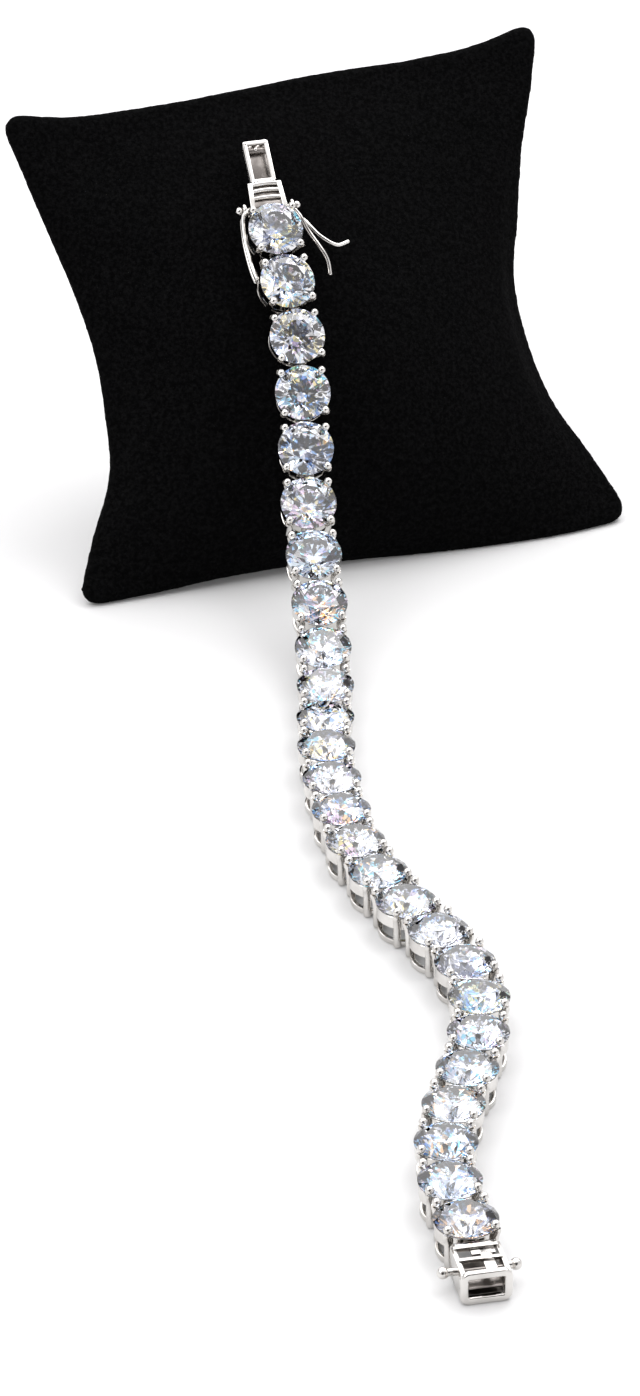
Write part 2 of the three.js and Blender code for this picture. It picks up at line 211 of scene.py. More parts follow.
# A box of points with its edges rounded off
def softBlock(length, width, height, centre, edge=0.08):
    mesh = bmesh.new()
    bmesh.ops.create_cube(mesh, size=1, matrix=Matrix.Diagonal((length, width, height, 1)))
    bmesh.ops.bevel(mesh, geom=mesh.edges[:], offset=edge, segments=2, affect="EDGES", profile=0.6)
    return shellOf(mesh, Matrix.Translation(centre))


def shellOf(mesh, matrix):
    mesh.verts.index_update()
    points = [matrix @ vert.co for vert in mesh.verts]
    faces = [tuple(vert.index for vert in face.verts) for face in mesh.faces]
    mesh.free()
    return points, faces


# A mesh object in metres that rides on its body and stands for its nodes of the frame
def makePiece(name, shell, material, body, nodes, sharpAngle=35, flat=False):
    points, faces = shell
    data = bpy.data.meshes.new(name)
    data.from_pydata([Vector(point) * mm for point in points], [], faces)
    data.validate()
    piece = bpy.data.objects.new(name, data)
    bpy.context.scene.collection.objects.link(piece)
    fixer = bmesh.new()
    fixer.from_mesh(data)
    bmesh.ops.recalc_face_normals(fixer, faces=fixer.faces[:])
    fixer.to_mesh(data)
    fixer.free()
    if not flat:
        data.shade_smooth()
        data.set_sharp_from_angle(angle=math.radians(sharpAngle))
    data.materials.append(material)
    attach(piece, body)
    if nodes:
        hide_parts(*nodes)
    return piece


# Materials
def newMaterial(name):
    material = bpy.data.materials.new(name)
    material.use_nodes = True
    tree = material.node_tree
    tree.nodes.clear()
    output = tree.nodes.new("ShaderNodeOutputMaterial")
    return material, tree, output


def addNode(tree, kind, **values):
    node = tree.nodes.new(kind)
    for name, value in values.items():
        if name in node.inputs:
            node.inputs[name].default_value = value
        else:
            setattr(node, name, value)
    return node


# A colour for each part of a value's range; a stop is a place from 0 to 1 and its colour
def addRamp(tree, source, stops):
    stops = list(stops)
    ramp = tree.nodes.new("ShaderNodeValToRGB")
    while len(ramp.color_ramp.elements) < len(stops):
        ramp.color_ramp.elements.new(0.5)
    for element, (place, colour) in zip(ramp.color_ramp.elements, stops):
        element.position = place
        element.color = (*colour, 1)
    tree.links.new(source, ramp.inputs["Fac"])
    return ramp.outputs["Color"]


def noiseOf(tree, scale, detail=3.0, roughness=0.5):
    coords = tree.nodes.new("ShaderNodeTexCoord")
    pattern = addNode(tree, "ShaderNodeTexNoise", Scale=scale, Detail=detail, Roughness=roughness)
    tree.links.new(coords.outputs["Object"], pattern.inputs["Vector"])
    return pattern.outputs["Fac"]


rhodium = {
    "shade": (0.63, 0.61, 0.585),
    "lighter": (0.75, 0.733, 0.71),
    # the inside colours are painted shade: a darker copy of the silver for the clasp's floors, recesses and
    # rolled tip
    "insideShade": (0.17, 0.155, 0.145),
    "insideLighter": (0.42, 0.39, 0.37),
    "insidePolish": (0.22, 0.4),
    "cloudScale": 420.0,  # per metre
    "cloudSpan": (0.35, 0.65),  # of the pattern, from shade to lighter
    "scratchScale": 2600.0,
    "scratchDetail": 5.0,
    "scratchRoughness": 0.65,
    "polish": (0.05, 0.14),  # roughness, from and to
    "relief": 0.05,
    "reliefDepth": 0.03,
}


def makeRhodium(name, shade, lighter, polish):
    material, tree, output = newMaterial(name)
    shader = addNode(tree, "ShaderNodeBsdfPrincipled", Metallic=1.0)
    clouds = noiseOf(tree, rhodium["cloudScale"])
    colour = addRamp(tree, clouds, zip(rhodium["cloudSpan"], (shade, lighter)))
    tree.links.new(colour, shader.inputs["Base Color"])
    scratches = noiseOf(tree, rhodium["scratchScale"], rhodium["scratchDetail"], rhodium["scratchRoughness"])
    spread = addNode(tree, "ShaderNodeMapRange")
    spread.inputs["To Min"].default_value, spread.inputs["To Max"].default_value = polish
    tree.links.new(scratches, spread.inputs["Value"])
    tree.links.new(spread.outputs["Result"], shader.inputs["Roughness"])
    bump = addNode(tree, "ShaderNodeBump", Strength=rhodium["relief"], Distance=rhodium["reliefDepth"] * mm)
    tree.links.new(scratches, bump.inputs["Height"])
    tree.links.new(bump.outputs["Normal"], shader.inputs["Normal"])
    tree.links.new(shader.outputs["BSDF"], output.inputs["Surface"])
    return material


crystal = {
    "bending": 2.17,
    "clear": (0.985, 0.988, 1.0),
    "facets": [  # painted reflection for each facet: where each begins on the facets' draw from 0 to 1, and its colour
        (0.0, (1.0, 1.0, 1.0)),
        (0.56, (0.88, 0.9, 0.96)),
        (0.79, (0.52, 0.55, 0.65)),
        (0.9, (0.78, 0.9, 1.0)),
    ],
    "paintedSparks": [  # the same for the small painted sparks of fire and dark reflection inside them
        (0.0, (1.0, 1.0, 1.0)),
        (0.62, (0.76, 0.78, 0.85)),
        (0.73, (0.26, 0.28, 0.36)),
        (0.785, (0.4, 0.84, 1.0)),
        (0.835, (1.0, 0.88, 0.5)),
        (0.885, (0.94, 0.74, 0.9)),
        (0.92, (0.34, 0.54, 0.9)),
        (0.972, (1.0, 0.66, 0.4)),
    ],
    "paintedSparkScale": 1250.0,  # per metre
}


def makeCrystal():
    material, tree, output = newMaterial("clearCrystal")
    shader = addNode(tree, "ShaderNodeBsdfPrincipled", Roughness=0.0, IOR=crystal["bending"])
    shader.inputs["Transmission Weight"].default_value = 1.0
    shader.inputs["Base Color"].default_value = (*crystal["clear"], 1)
    tree.links.new(shader.outputs["BSDF"], output.inputs["Surface"])
    return material


# The facets below the girdle are mirrors that throw all their light back, each painted with its own colour of
# reflected light and fire
def makeFlashes():
    material, tree, output = newMaterial("crystalFlashes")
    shader = addNode(tree, "ShaderNodeBsdfPrincipled", Roughness=0.0, Metallic=1.0)
    draw = addNode(tree, "ShaderNodeAttribute", attribute_name="facetDraw")
    facets = addRamp(tree, draw.outputs["Fac"], crystal["facets"])
    coords = tree.nodes.new("ShaderNodeTexCoord")
    cells = addNode(tree, "ShaderNodeTexVoronoi", Scale=crystal["paintedSparkScale"])
    tree.links.new(coords.outputs["Object"], cells.inputs["Vector"])
    cell = tree.nodes.new("ShaderNodeSeparateColor")
    tree.links.new(cells.outputs["Color"], cell.inputs["Color"])
    # painted sparks of fire and dark reflection, in cells over each facet
    paintedSparks = addRamp(tree, cell.outputs["Red"], crystal["paintedSparks"])
    for ramp in (facets, paintedSparks):
        ramp.node.color_ramp.interpolation = "CONSTANT"
    # a colour mix takes its share in socket 0 and its two colours in 6 and 7, and gives colour in 2
    both = addNode(tree, "ShaderNodeMix", data_type="RGBA", blend_type="MULTIPLY")
    both.inputs[0].default_value = 1.0
    tree.links.new(facets, both.inputs[6])
    tree.links.new(paintedSparks, both.inputs[7])
    tree.links.new(both.outputs[2], shader.inputs["Base Color"])
    tree.links.new(shader.outputs["BSDF"], output.inputs["Surface"])
    return material


velvet = {
    "pile": (0.0012, 0.0012, 0.0013),
    "speck": (0.0065, 0.0065, 0.0068),
    "speckSpan": (0.42, 0.8),  # of the pattern, from pile to speck
    "pileScale": 2200.0,  # per metre
    "pileDetail": 4.0,
    "pileRoughness": 0.7,
    "gloss": 0.02,
    "sheen": 0.012,
    "sheenRoughness": 0.35,
    "relief": 0.6,
    "reliefDepth": 0.2,
}


def makeVelvet():
    material, tree, output = newMaterial("blackVelvet")
    shader = addNode(tree, "ShaderNodeBsdfPrincipled", Roughness=1.0)
    shader.inputs["Specular IOR Level"].default_value = velvet["gloss"]
    shader.inputs["Sheen Weight"].default_value = velvet["sheen"]
    shader.inputs["Sheen Roughness"].default_value = velvet["sheenRoughness"]
    pile = noiseOf(tree, velvet["pileScale"], velvet["pileDetail"], velvet["pileRoughness"])
    colour = addRamp(tree, pile, zip(velvet["speckSpan"], (velvet["pile"], velvet["speck"])))
    tree.links.new(colour, shader.inputs["Base Color"])
    bump = addNode(tree, "ShaderNodeBump", Strength=velvet["relief"], Distance=velvet["reliefDepth"] * mm)
    tree.links.new(pile, bump.inputs["Height"])
    tree.links.new(bump.outputs["Normal"], shader.inputs["Normal"])
    tree.links.new(shader.outputs["BSDF"], output.inputs["Surface"])
    return material


silver = makeRhodium("rhodiumSilver", rhodium["shade"], rhodium["lighter"], rhodium["polish"])
# a darker copy of the silver, painted shade for the clasp's insides
paintedShadeSilver = makeRhodium(
    "paintedShadeInside", rhodium["insideShade"], rhodium["insideLighter"], rhodium["insidePolish"])
stoneMaterial = makeCrystal()
flashMaterial = makeFlashes()
pillowMaterial = makeVelvet()
print("materials made")


# The links' places, read from the stones of the frame: +X down the chain, +Z out of the stone
stone = {
    "radius": 3.25,
    "tableRadius": 1.85,
    "starRadius": 2.55,
    "crown": 0.96,
    "girdle": 0.16,
    "pavilion": 2.8,
    "lowerHalfRadius": 0.75,
    "culetLift": 1.0,  # from a setting's base to the stone's point
    "girdleCorners": 16,  # of a stone in the frame
    "girdleSides": 64,
    "downward": -0.3,  # cosine to the table, below which a facet throws light back
    "seed": 7,
}
stoneNames = sorted(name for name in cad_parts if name.startswith("stone_"))


def findLinks():
    culets, ups = [], []
    for name in stoneNames:
        seen = {tuple(round(c / mm, 3) for c in vert.co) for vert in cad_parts[name].data.vertices}
        points = [Vector(point) for point in sorted(seen)]
        total = sum(points, Vector()) / len(points)
        # the culet is the point whose distances to the girdle's corners, the farthest, are all alike
        spread = {}
        for point in points:
            far = sorted((other - point).length for other in points)[-stone["girdleCorners"]:]
            spread[tuple(point)] = max(far) - min(far)
        culet = Vector(min(spread, key=spread.get))
        culets.append(culet)
        ups.append((total - culet).normalized())
    frames = []
    for k, (culet, up) in enumerate(zip(culets, ups)):
        ahead = culets[min(k + 1, len(culets) - 1)] - culets[max(k - 1, 0)]
        along = (ahead - up * ahead.dot(up)).normalized()
        side = up.cross(along)
        place = culet - up * stone["culetLift"]
        matrix = Matrix((along, side, up)).transposed().to_4x4()
        matrix.translation = place
        frames.append(matrix)
    return frames


links = findLinks()
print("links found:", len(links))


# A brilliant: the hull of its table, star and half corners, its point, and the girdle
# where the facets meet it; its turns are sixteenths of the way round
def facetPlane(a, b, c):
    normal = (b - a).cross(c - a).normalized()
    if normal.dot(a - Vector((0, 0, stone["culetLift"] + stone["pavilion"]))) < 0:
        normal = -normal
    return normal, normal.dot(a)


def polar(radius, turn, height):
    angle = math.pi / 8 * turn
    return Vector((radius * math.cos(angle), radius * math.sin(angle), height))


def brilliant():
    radius = stone["radius"]
    low = stone["culetLift"] + stone["pavilion"]
    high = low + stone["girdle"]
    top = high + stone["crown"]
    narrow = math.cos(math.pi / 8)
    starShare = (radius - stone["starRadius"] * narrow) / (radius - stone["tableRadius"])
    starHeight = high + stone["crown"] * starShare
    halfHeight = low - stone["pavilion"] * (1 - stone["lowerHalfRadius"] * narrow / radius)
    crown, pavilion = [], []
    points = [Vector((0, 0, stone["culetLift"]))]
    for turn in range(0, 16, 2):
        for way in (-1, 1):
            star = polar(stone["starRadius"], turn + way, starHeight)
            half = polar(stone["lowerHalfRadius"], turn + way, halfHeight)
            crown.append(facetPlane(polar(radius, turn, high), star, polar(radius, turn + way, high)))
            pavilion.append(facetPlane(polar(radius, turn, low), half, polar(radius, turn + way, low)))
        points.append(polar(stone["tableRadius"], turn, top))
        points.append(polar(stone["starRadius"], turn + 1, starHeight))
        points.append(polar(stone["lowerHalfRadius"], turn + 1, halfHeight))
    for side in range(stone["girdleSides"]):
        rim = polar(radius, 16 * side / stone["girdleSides"], 0)
        heights = [(offset - normal.dot(rim)) / normal.z for normal, offset in crown]
        depths = [(offset - normal.dot(rim)) / normal.z for normal, offset in pavilion]
        points.append(rim + Vector((0, 0, min(heights))))
        points.append(rim + Vector((0, 0, max(depths))))
    mesh = bmesh.new()
    for point in points:
        mesh.verts.new(point)
    bmesh.ops.convex_hull(mesh, input=mesh.verts[:])
    bmesh.ops.dissolve_limit(mesh, angle_limit=math.radians(0.5), verts=mesh.verts[:], edges=mesh.edges[:])
    print("facets of a stone:", len(mesh.faces))
    return shellOf(mesh, Matrix.Identity(4))


def makeStones():
    dice = random.Random(stone["seed"])
    cut = brilliant()
    for name, link in zip(stoneNames, links):
        turn = Matrix.Rotation(dice.uniform(0, math.pi / 4), 4, "Z")
        shell = moved(cut, link @ turn)
        piece = makePiece(name + "_brilliant", shell, stoneMaterial, fixedBody, [name], flat=True)
        data = piece.data
        data.materials.append(flashMaterial)
        draw = data.attributes.new("facetDraw", "FLOAT", "FACE")
        outOfTable = (link.to_3x3() @ upWay).normalized()
        for face in data.polygons:
            draw.data[face.index].value = dice.random()
            face.material_index = 1 if face.normal.dot(outOfTable) < stone["downward"] else 0
    print("stones cut:", len(stoneNames))


makeStones()


# Settings: a cup under the girdle, a base rail, four ball-tipped prongs and a hinge to the next link
basket = {
    "cupOuter": 3.13,
    "cupLow": 2.15,
    "cupHigh": 3.62,
    "cupGap": 0.07,  # round the stone
    "cupSeat": 0.55,  # how far down the cup follows the stone
    "cupEdge": 0.08,
    "cupBevel": (0.02, 0.04),  # of the inner rim
    "lip": (0.04, 0.05),  # proud of the cup, below its top
    "lipDeep": 0.5,
    "railOuter": 3.0,
    "railInner": 2.45,
    "railLow": 0.02,
    "railHigh": 0.72,
    "railEdge": 0.12,
    "prong": [  # outwards, up, and the wire's radius
        (3.16, 0.1, 0.301),
        (3.16, 0.25, 0.43),
        (3.18, 1.4, 0.43),
        (3.24, 2.6, 0.43),
        (3.38, 3.3, 0.3956),
        (3.6, 3.8, 0.36),
        (3.57, 4.02, 0.36),
    ],
    "prongSteps": 3,
    "tipOut": 3.37,
    "tipHeight": 4.5,
    "tipRadius": 0.47,
    "hingeInset": 0.15,
    "hingeApart": 0.55,  # of the two arms, from the middle
    "hingeWire": 0.24,
    "pinReach": 1.2,
    "pinWire": 0.3,
    "sides": 56,
    "wireSides": 14,
    "armSides": 12,
}


def prong(eighth):
    b = basket
    turn = Matrix.Rotation(eighth * math.pi / 4, 3, "Z")
    path = smoothPath([Vector((out, 0, up)) for out, up, size in b["prong"]], b["prongSteps"])
    sizes = smoothPath([Vector((size, 0, 0)) for out, up, size in b["prong"]], b["prongSteps"])
    stem = wire([turn @ place for place in path], [size.x for size in sizes], b["wireSides"])
    tip = ball(b["tipRadius"], turn @ Vector((b["tipOut"], 0, b["tipHeight"])), around=18)
    return joinShells([stem, tip])


# The cup's section follows the stone's cone, then drops straight down
def cupProfile():
    b = basket
    outer, low, high, edge = b["cupOuter"], b["cupLow"], b["cupHigh"], b["cupEdge"]
    slope = stone["radius"] / stone["pavilion"]
    belowGirdle = stone["culetLift"] + stone["pavilion"] - high
    wall = stone["radius"] - slope * belowGirdle + b["cupGap"]
    deepWall = wall - slope * b["cupSeat"]
    bevelIn, bevelDown = b["cupBevel"]
    lipOut, lipDown = b["lip"]
    return [
        (outer + lipOut, high - lipDown),
        (outer, high),
        (wall + bevelIn, high),
        (wall, high - bevelDown),
        (deepWall, high - b["cupSeat"]),
        (deepWall, low + edge),
        (deepWall + edge, low),
        (outer - edge, low),
        (outer, low + edge),
        (outer, high - b["lipDeep"]),
    ]


def linkBody():
    b = basket
    circle = circleOutline(0, b["sides"])
    cup = hoop(circle, cupProfile(), upWay)
    railSection = softProfile(b["railInner"], b["railOuter"], b["railLow"], b["railHigh"], b["railEdge"])
    rail = hoop(circle, railSection, upWay)
    return joinShells([cup, rail] + [prong(eighth) for eighth in (1, 3, 5, 7)])


def hingeTo(here, there):
    b = basket
    height = b["railHigh"] / 2
    reach = b["railOuter"] - b["hingeInset"]
    start = here @ Vector((reach, 0, height))
    end = there @ Vector((-reach, 0, height))
    middle = start.lerp(end, 0.5)
    side = (here.to_3x3() @ acrossWay).normalized()
    shells = []
    for out in (-b["hingeApart"], b["hingeApart"]):
        arm = [start.lerp(end, k / 4) + side * out for k in range(5)]
        shells.append(roundEnded(arm, b["hingeWire"], b["armSides"]))
    pin = [middle + side * (b["pinReach"] * k / 4) for k in range(-4, 5)]
    shells.append(roundEnded(pin, b["pinWire"], b["wireSides"]))
    return joinShells(shells)


def makeSettings():
    body = linkBody()
    half = len(links) // 2
    for name, first, end in (("upper_settings", 0, half), ("lower_settings", half, len(links))):
        shells = [moved(body, links[k]) for k in range(first, end)]
        shells += [hingeTo(links[k], links[k + 1]) for k in range(first, min(end, len(links) - 1))]
        makePiece(name + "_polished", joinShells(shells), silver, fixedBody, [name], sharpAngle=40)
    print("settings made")


makeSettings()


# Clasp, tongue end: collar, sprung tongue, ball posts
tongue = {
    "collarNear": 3.55,  # upstream of the first link's middle
    "collarFar": 6.35,
    "collarWide": 4.5,
    "collarNarrow": 4.1,
    "collarLow": 0.75,
    "collarHigh": 3.25,
    # share of the way out, thickness and bow
    "collarBars": [(0.3, 0.5, 0.1), (0.62, 0.5, 0.14), (0.91, 0.56, 0.16)],
    "barReach": 1.72,
    "barDeep": 0.3,
    "cheekNear": 2.95,
    "cheek": 0.6,
    "cheekEdge": 0.14,
    "floorInset": (0.3, 0.1),  # at the collar's near end and its far end
    "floorWidths": (3.5, 3.2),
    "floorDeep": 0.6,  # below the collar's top
    "stepNear": 3.3,
    "stepReach": 0.5,  # past the collar's near end
    "stepWidths": (4.1, 4.0),
    "stepDeep": 0.35,
    "length": 5.45,
    "width": 3.1,
    "corner": 0.3,
    "leaf": 0.42,
    "leafEdge": 0.09,
    "rim": 0.54,
    "high": 3.0,
    "drop": 1.3,  # from the upper leaf to the lower
    "lowerLonger": 0.3,
    "lowerNarrower": 0.35,
    "lowerEdge": 0.1,
    # a thin sheet of the darker silver on the lower leaf, painted shade
    "shadeSheetThick": 0.1,
    "shadeSheetShorter": 0.4,
    "shadeSheetNarrower": 0.5,
    "shadeSheetShift": 0.1,
    "rollBack": 1.0,  # behind the tip
    "rollDeep": 0.75,
    "rollReach": 1.0,
    "rollRadius": 0.42,
    "curlOut": 0.5,
    "curlTall": 0.55,
    "curlDeep": 0.2,
    "curlWire": 0.3,
    "curlApart": 1.0,
    "curlSteps": 10,
    "tipBall": 0.27,
    "tipBallSide": -0.05,
    "tipBallDeep": 0.35,
    "rootBall": 0.36,
    "rootBallBack": 0.1,
    "rootBallOut": 1.15,
    "rootBallDeep": 0.12,
    "postBack": 3.3,
    "postHeight": 2.4,
    "postRoot": 1.9,
    "postOut": 3.5,
    "postWire": 0.22,
    "postBall": 0.48,
}


def ballPosts(piece, along):
    shells = []
    for hand in (-1, 1):
        start = Vector((along, hand * piece["postRoot"], piece["postHeight"]))
        end = Vector((along, hand * piece["postOut"], piece["postHeight"]))
        path = [start.lerp(end, k / 6) for k in range(7)]
        shells.append(wire(path, [piece["postWire"]] * len(path), sides=14))
        shells.append(ball(piece["postBall"], end, around=24, up=16))
    return shells


# A block upstream of a link's middle, from near to far, with its widths and sideways shifts there
def taperedBlock(reach, widths, heights, edge=0.12, shifts=(0, 0)):
    mesh = bmesh.new()
    bmesh.ops.create_cube(mesh, size=1)
    for vert in mesh.verts:
        end = 0 if vert.co.x > 0 else 1
        vert.co.x = -reach[end]
        vert.co.y = vert.co.y * widths[end] + shifts[end]
        vert.co.z = heights[1] if vert.co.z > 0 else heights[0]
    bmesh.ops.bevel(mesh, geom=mesh.edges[:], offset=edge, segments=3, affect="EDGES", profile=0.6)
    return shellOf(mesh, Matrix.Identity(4))


def makeClaspPiece(name, inside, polished, link):
    shell = moved(joinShells(inside + polished), link)
    piece = makePiece(name + "_polished", shell, silver, fixedBody, [name], sharpAngle=40)
    piece.data.materials.append(paintedShadeSilver)
    # the inside pieces come first and take the second slot, the darker silver of painted shade
    insideFaces = sum(len(faces) for points, faces in inside)
    for face in piece.data.polygons[:insideFaces]:
        face.material_index = 1


# The collar's floor and step, a thin shade sheet on the tongue's lower leaf, and the spring rolled at its
# tip, all in the darker silver of painted shade
def tongueInside():
    t = tongue
    near, far = t["collarNear"], t["collarFar"]
    nearInset, farInset = t["floorInset"]
    floorHeights = (t["collarLow"], t["collarHigh"] - t["floorDeep"])
    stepHeights = (t["collarLow"], t["collarHigh"] - t["stepDeep"])
    middle = -(far + t["length"] / 2)
    shadeSheetPlace = Vector((middle + t["shadeSheetShift"], 0, t["high"] - t["drop"] + t["leaf"] / 2))
    shadeSheetLong, shadeSheetWide = t["length"] - t["shadeSheetShorter"], t["width"] - t["shadeSheetNarrower"]
    back = t["rollBack"] - far - t["length"]
    roll = [Vector((back, t["rollReach"] * k / 2, t["high"] - t["rollDeep"])) for k in range(-2, 3)]
    return [
        taperedBlock((near + nearInset, far - farInset), t["floorWidths"], floorHeights),
        taperedBlock((t["stepNear"], near + t["stepReach"]), t["stepWidths"], stepHeights),
        softBlock(shadeSheetLong, shadeSheetWide, t["shadeSheetThick"], shadeSheetPlace),
        roundEnded(roll, t["rollRadius"], sides=16),
    ]


# Side cheeks, and three arched cross bars with slots between them
def collar():
    t = tongue
    near, far = t["collarNear"], t["collarFar"]
    shells = []
    for hand in (-1, 1):
        shifts = [hand * (width - t["cheek"]) / 2 for width in (t["collarWide"], t["collarNarrow"])]
        heights = (t["collarLow"], t["collarHigh"])
        shells.append(taperedBlock((t["cheekNear"], far), (t["cheek"],) * 2, heights, t["cheekEdge"], shifts))
    for share, thick, arch in t["collarBars"]:
        bow = []
        for k in range(-4, 5):
            along = -(near + (far - near) * share) - arch * (1 - (k / 4) ** 2)
            bow.append(Vector((along, t["barReach"] * k / 4, t["collarHigh"] - t["barDeep"])))
        shells.append(wire(bow, [thick / 2] * len(bow), sides=14))
    return shells


# A windowed upper leaf, a lower leaf, and the curled wires between them at the tip
def sprungTongue():
    t = tongue
    middle = -(t["collarFar"] + t["length"] / 2)
    tip = -(t["collarFar"] + t["length"])
    outline = [(place + aheadWay * middle, outward) for place, outward in
               roundedOutline(t["length"], t["width"], t["corner"], aheadWay, acrossWay)]
    leafSection = softProfile(-t["rim"], 0, t["high"] - t["leaf"], t["high"], t["leafEdge"])
    lowerPlace = Vector((middle + t["lowerLonger"] / 2, 0, t["high"] - t["drop"]))
    lowerLong, lowerWide = t["length"] + t["lowerLonger"], t["width"] - t["lowerNarrower"]
    shells = [
        hoop(outline, leafSection, upWay),
        softBlock(lowerLong, lowerWide, t["leaf"], lowerPlace, t["lowerEdge"]),
    ]
    curl = []
    for k in range(t["curlSteps"] + 1):
        angle = math.pi * k / t["curlSteps"]
        height = t["high"] - t["drop"] / 2 - t["curlDeep"] - t["curlTall"] * math.cos(angle)
        curl.append(Vector((tip + t["curlOut"] * (1 - math.sin(angle)), 0, height)))
    for hand in (-1, 0, 1):
        path = [place + acrossWay * (hand * t["curlApart"]) for place in curl]
        shells.append(wire(path, [t["curlWire"]] * len(path), sides=12))
    tipPlace = Vector((tip + t["rollBack"], t["tipBallSide"], t["high"] - t["tipBallDeep"]))
    shells.append(ball(t["tipBall"], tipPlace))
    for hand in (-1, 1):
        root = -t["collarFar"] - t["rootBallBack"]
        place = Vector((root, hand * t["rootBallOut"], t["high"] - t["rootBallDeep"]))
        shells.append(ball(t["rootBall"], place))
    return shells


def makeTongue():
    polished = collar() + sprungTongue() + ballPosts(tongue, -tongue["postBack"])
    makeClaspPiece("clasp_tongue", tongueInside(), polished, links[0])


# Clasp, box end: four walls round the mouth, a barred window on top, two ball posts
box = {
    "start": 3.4,  # downstream of the last link's middle
    "length": 5.45,
    "width": 5.1,
    "height": 3.7,
    "wall": 0.5,
    "wallInset": 0.6,  # of the floor and the sides, at their ends
    "wallLower": 0.5,
    "sideInset": 0.075,
    "floorLift": 0.07,
    "edge": 0.1,
    "fineEdge": 0.08,
    "mouthWall": 0.82,
    "mouthProud": 0.1,
    "mouthDeep": 0.75,
    "mouthCorner": 0.95,
    "mouthEdge": 0.2,
    "backInset": 0.2,
    "backDeep": 0.9,
    "backCorner": 0.5,
    "plateShorter": 1.2,
    "plateNarrower": 1.6,
    "plateThick": 0.25,
    "plateShare": 0.42,  # of the height
    # a block of the darker silver behind the mouth, painted shade inside the box
    "shadeSheetThick": 0.3,
    "shadeSheetTall": 1.1,
    "shadeSheetNarrower": 1.2,
    "shadeSheetBack": 1.6,  # behind the mouth
    "shadeSheetDeep": 1.05,  # below the top
    "bar": 0.5,
    "barThick": 0.45,
    "barNarrower": 0.7,
    "barDeep": 0.3,
    "barEdge": 0.12,
    "catchDeep": 0.5,
    "catchThick": 0.3,
    "catchSide": 0.75,
    "stemWide": 1.15,
    "stemShorter": 1.4,
    "stemBack": 0.1,
    "crossLong": 0.9,
    "crossWide": 2.4,
    "crossAhead": 1.35,  # of the box's start
    "crossShift": 0.2,
    "postForward": 2.3,
    "postHeight": 1.95,
    "postRoot": 2.25,
    "postOut": 3.65,
    "postWire": 0.42,
    "postBall": 0.62,
}


# The floor, the plate across the mouth, and a shade sheet behind the mouth's sides, all in the darker silver
# of painted shade
def boxInside():
    b = box
    middle = b["start"] + b["length"] / 2
    floorPlace = Vector((middle, 0, b["wall"] / 2 + b["floorLift"]))
    platePlace = Vector((middle, 0, b["height"] * b["plateShare"]))
    shadeSheetPlace = Vector((b["start"] + b["length"] - b["shadeSheetBack"], 0, b["height"] - b["shadeSheetDeep"]))
    floorLong, floorWide = b["length"] - b["wallInset"], b["width"] - b["wallInset"]
    plateLong, plateWide = b["length"] - b["plateShorter"], b["width"] - b["plateNarrower"]
    shadeSheetWide = b["width"] - b["shadeSheetNarrower"]
    return [
        softBlock(floorLong, floorWide, b["wall"], floorPlace, b["edge"]),
        softBlock(plateLong, plateWide, b["plateThick"], platePlace, b["fineEdge"]),
        softBlock(b["shadeSheetThick"], shadeSheetWide, b["shadeSheetTall"], shadeSheetPlace, b["edge"]),
    ]


# The mouth's frame is proud of the walls behind it
def boxWalls():
    b = box
    start, front = b["start"], b["start"] + b["length"]
    middle = start + b["length"] / 2
    lift = upWay * (b["height"] / 2)
    mouthWide = b["width"] + b["mouthProud"]
    backWide, backTall = b["width"] - b["backInset"], b["height"] - b["backInset"]
    mouth = [(place + lift, outward) for place, outward in
             roundedOutline(mouthWide, b["height"], b["mouthCorner"], acrossWay, upWay, steps=8)]
    back = [(place + lift, outward) for place, outward in
            roundedOutline(backWide, backTall, b["backCorner"], acrossWay, upWay, steps=6)]
    mouthSection = softProfile(-b["mouthWall"], 0, front - b["mouthDeep"], front, b["mouthEdge"], steps=3)
    backSection = softProfile(-b["wall"], 0, start, start + b["backDeep"], b["edge"])
    shells = [hoop(mouth, mouthSection, aheadWay), hoop(back, backSection, aheadWay)]
    sideLong, sideTall = b["length"] - b["wallInset"], b["height"] - b["wallLower"]
    for hand in (-1, 1):
        place = Vector((middle, hand * ((b["width"] - b["wall"]) / 2 - b["sideInset"]), b["height"] / 2))
        shells.append(softBlock(sideLong, b["wall"], sideTall, place, b["edge"]))
    return shells


# The window's bar, and the spring catch under it: a stem with a cross plate at its back
def windowBarAndCatch():
    b = box
    middle = b["start"] + b["length"] / 2
    catch = b["height"] - b["catchDeep"]
    barPlace = Vector((middle, 0, b["height"] - b["barDeep"]))
    stemPlace = Vector((middle - b["stemBack"], b["catchSide"], catch))
    crossPlace = Vector((b["start"] + b["crossAhead"], b["catchSide"] - b["crossShift"], catch))
    return [
        softBlock(b["bar"], b["width"] - b["barNarrower"], b["barThick"], barPlace, b["barEdge"]),
        softBlock(b["length"] - b["stemShorter"], b["stemWide"], b["catchThick"], stemPlace, b["fineEdge"]),
        softBlock(b["crossLong"], b["crossWide"], b["catchThick"], crossPlace, b["fineEdge"]),
    ]


def makeBox():
    polished = boxWalls() + windowBarAndCatch() + ballPosts(box, box["start"] + box["postForward"])
    makeClaspPiece("clasp_box", boxInside(), polished, links[-1])


makeTongue()
makeBox()
print("clasp made")


